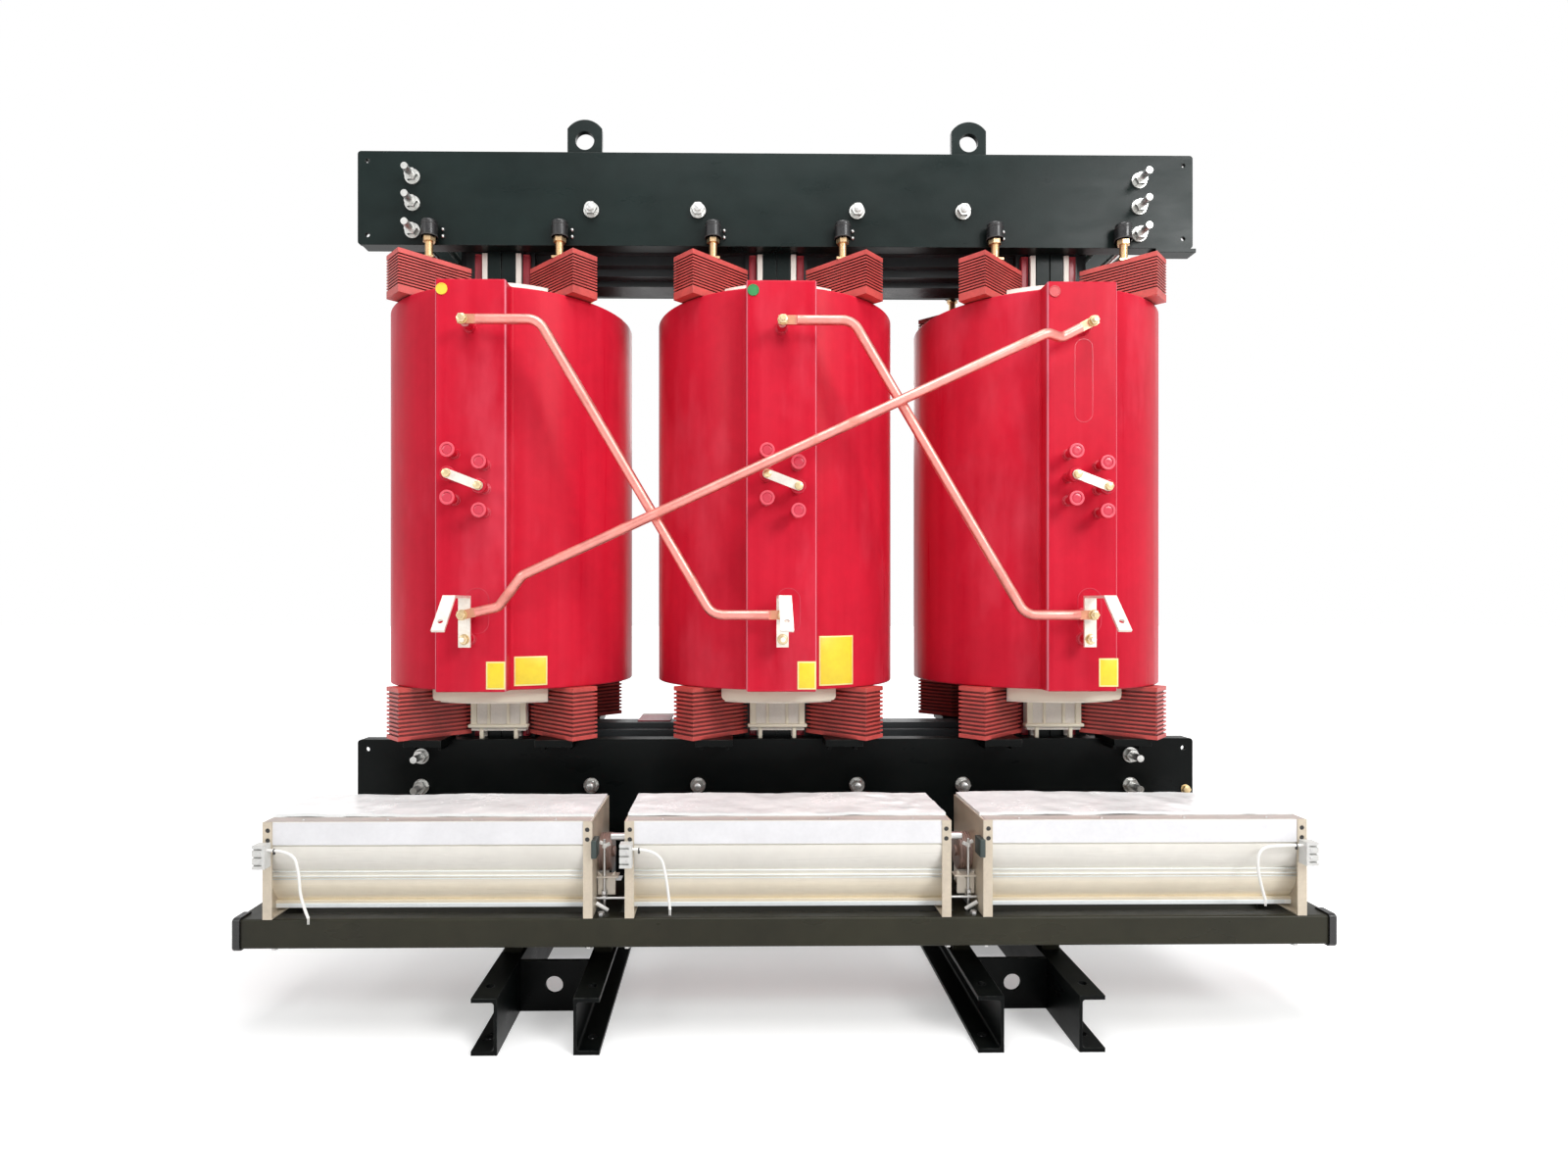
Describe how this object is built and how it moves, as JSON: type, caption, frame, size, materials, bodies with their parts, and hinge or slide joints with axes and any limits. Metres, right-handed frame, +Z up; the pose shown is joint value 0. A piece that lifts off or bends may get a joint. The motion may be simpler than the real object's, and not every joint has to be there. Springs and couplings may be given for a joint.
{
  "type": "dry-type transformer",
  "caption": "Three-phase cast-resin dry-type power transformer on foot rails, with clamped core, delta-linked round coils and cross-flow cooling fans along both sides.",
  "frame": {"origin": "centre of the footprint on the floor, under the middle limb", "axes": "+X along the row of coils, -Y the high-voltage front, +Z up"},
  "size_m": [2.372, 1.31, 2.25],
  "materials": {
    "dark_paint": "gloss, dark green-black",
    "core_steel": "satin dark varnish over stacked sheet edges",
    "galvanised": "zinc plated",
    "coil_resin": "semi-gloss crimson casting resin",
    "block_resin": "satin brick-red moulded resin",
    "inner_coil": "resin-soaked foil winding",
    "cream_board": "cream insulating board",
    "copper": "drawn bare copper",
    "tinned_copper": "tinned",
    "black_cap": "black moulded rubber-like plastic",
    "brass_stud": "yellow passivated",
    "fan_shell": "off-white powder coat",
    "fan_plate": "beige zinc plate",
    "motor_shell": "brown-pink primer",
    "connector_shell": "grey-white nylon",
    "cord_sheath": "soft white sheath"
  },
  "bodies": {
    "root": {"beam_caps": "black_cap", "clamp_saddles": "dark_paint", "core_limbs": "core_steel", "core_lower_yoke": "core_steel", "core_upper_yoke": "core_steel", "delta_rod_ab": "copper", "delta_rod_bc": "copper", "delta_rod_ca": "copper", "fan_connectors": "connector_shell", "fan_cord_a": "cord_sheath", "fan_cord_b": "cord_sheath", "fan_cord_c": "cord_sheath", "fan_end_plates": "fan_plate", "fan_frame_front": "dark_paint", "fan_frame_rear": "dark_paint", "fan_housing_front_a": "fan_shell", "fan_housing_front_b": "fan_shell", "fan_housing_front_c": "fan_shell", "fan_housing_rear_a": "fan_shell", "fan_housing_rear_b": "fan_shell", "fan_housing_rear_c": "fan_shell", "fan_motors": "motor_shell", "foot_rails_left": "dark_paint", "foot_rails_right": "dark_paint", "hv_coil_a": "coil_resin", "hv_coil_b": "coil_resin", "hv_coil_c": "coil_resin", "hv_terminal_bars": "tinned_copper", "lifting_lugs": "dark_paint", "lower_clamp_front": "dark_paint", "lower_clamp_rear": "dark_paint", "lower_spacers_a": "block_resin", "lower_spacers_b": "block_resin", "lower_spacers_c": "block_resin", "lv_coils": "inner_coil", "lv_end_trays": "cream_board", "lv_terminal_bars": "tinned_copper", "pressure_caps": "black_cap", "pressure_studs": "brass_stud", "rail_cross_plates": "dark_paint", "spacer_brackets": "dark_paint", "tap_links": "tinned_copper", "terminal_studs": "tinned_copper", "tie_plates": "dark_paint", "tie_rods": "galvanised", "upper_clamp_front": "dark_paint", "upper_clamp_rear": "dark_paint", "upper_spacers_a": "block_resin", "upper_spacers_b": "block_resin", "upper_spacers_c": "block_resin", "yoke_bolts": "galvanised"}
  },
  "joints": []
}
